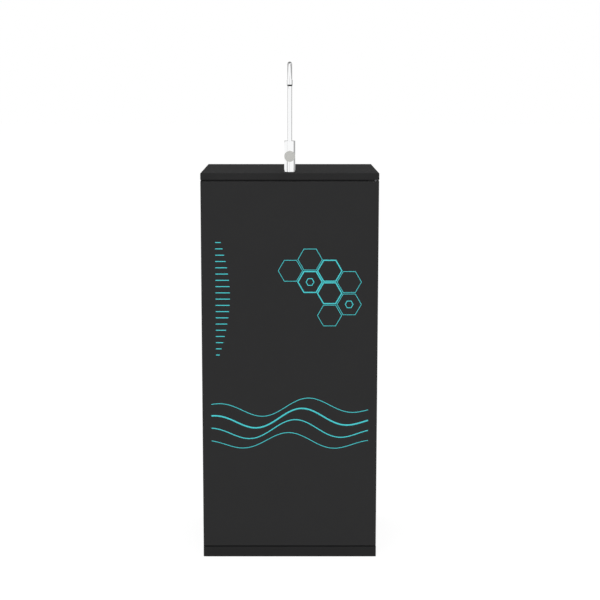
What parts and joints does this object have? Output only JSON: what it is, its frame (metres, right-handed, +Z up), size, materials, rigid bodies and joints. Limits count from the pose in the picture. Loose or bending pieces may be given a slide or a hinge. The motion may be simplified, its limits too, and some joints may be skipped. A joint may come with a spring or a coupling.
{
  "type": "reverse-osmosis water purifier",
  "caption": "Floor-standing reverse-osmosis water purifier with a hinged glass-faced door, a gooseneck tap on its lid, and filters, pump and storage tank inside.",
  "frame": {"origin": "on the floor at the middle of the plinth's rim, which is the middle of the cabinet's footprint", "axes": "+Z up, -Y out of the door's face towards the user, +X to the user's right when facing the door"},
  "size_m": [0.42, 0.4441, 1.191],
  "materials": {
    "black_abs": "moulded black plastic with a fine grain",
    "rubber": "black rubber",
    "coated_steel": "black powder coat",
    "bright_steel": "zinc-plated",
    "catch_plastic": "grey moulded plastic",
    "black_glass": "toughened glass printed black on its back, thin turquoise lines",
    "white_plastic": "white acetal",
    "chrome": "polished chrome plate",
    "brass": "turned brass",
    "satin_metal": "satin disc",
    "zinc_steel": "zinc-coated sheet",
    "head_plastic": "dark blue reinforced plastic",
    "clear_plastic": "clear moulded plastic",
    "bowl_plastic": "white moulded plastic",
    "filter_media": "wound filter fibre between end caps",
    "tank_plastic": "white moulded plastic",
    "blue_plastic": "blue moulded plastic",
    "pump_plastic": "glass-filled black plastic",
    "motor_steel": "plated steel can",
    "supply_plastic": "black moulded plastic",
    "tube_plastic": "translucent polyethylene",
    "cable_plastic": "black cable sheath"
  },
  "bodies": {
    "cabinet_body": {"base_tray": "black_abs", "rubber_feet": "rubber", "left_panel": "coated_steel", "right_panel": "coated_steel", "back_panel": "coated_steel", "lid": "black_abs", "pivot_pins": "bright_steel", "door_seals": "rubber", "magnet_catches": "catch_plastic", "screws": "bright_steel", "tap_gasket": "rubber", "tap_body": "chrome", "tap_shank": "brass", "shank_washer": "rubber", "shank_nut": "brass", "tap_connector": "white_plastic", "valve_cartridge": "brass", "spout_seals": "rubber", "filter_shelf": "zinc_steel", "filter_head_1": "head_plastic", "filter_head_2": "head_plastic", "filter_head_3": "head_plastic", "filter_bowl_1": "clear_plastic", "filter_bowl_2": "bowl_plastic", "filter_bowl_3": "bowl_plastic", "filter_cartridge_1": "filter_media", "filter_cartridge_2": "filter_media", "filter_cartridge_3": "filter_media", "bowl_seals": "rubber", "head_nipples": "brass", "elbow_fittings": "white_plastic", "membrane_vessel": "bowl_plastic", "membrane_cap": "bowl_plastic", "membrane": "filter_media", "post_filter_1": "bowl_plastic", "post_filter_2": "bowl_plastic", "post_filter_3": "bowl_plastic", "rack_clips": "catch_plastic", "storage_tank": "tank_plastic", "tank_stand": "black_abs", "tank_valve": "white_plastic", "pump_head": "pump_plastic", "pump_motor": "motor_steel", "pump_bracket": "zinc_steel", "pump_mounts": "rubber", "line_fittings": "white_plastic", "power_supply": "supply_plastic", "back_connectors": "white_plastic", "tubes": "tube_plastic", "cables": "cable_plastic"},
    "door_body": {"door_glass": "black_glass", "door_panel": "black_abs", "pivot_bushes": "white_plastic", "strike_plates": "bright_steel"},
    "spout_body": {"spout_tube": "chrome", "spout_nozzle": "chrome"},
    "knob_body": {"knob": "chrome", "knob_cap": "satin_metal", "valve_stem": "brass"},
    "lever_body": {"tank_lever": "blue_plastic"}
  },
  "joints": [
    {"name": "door_hinge", "type": "hinge", "parent": "cabinet_body", "child": "door_body", "pos_m": [0.202, -0.1605, 0.47], "axis": [0, 0, 1], "range_deg": [0, 110]},
    {"name": "spout_swivel", "type": "hinge", "parent": "cabinet_body", "child": "spout_body", "pos_m": [0, -0.13, 1], "axis": [0, 0, 1], "continuous": true},
    {"name": "knob_turn", "type": "hinge", "parent": "cabinet_body", "child": "knob_body", "pos_m": [0, -0.15, 0.972], "axis": [0, -1, 0], "range_deg": [0, 90]},
    {"name": "tank_valve_turn", "type": "hinge", "parent": "cabinet_body", "child": "lever_body", "pos_m": [-0.075, 0, 0.409], "axis": [0, 1, 0], "range_deg": [0, 90]}
  ]
}
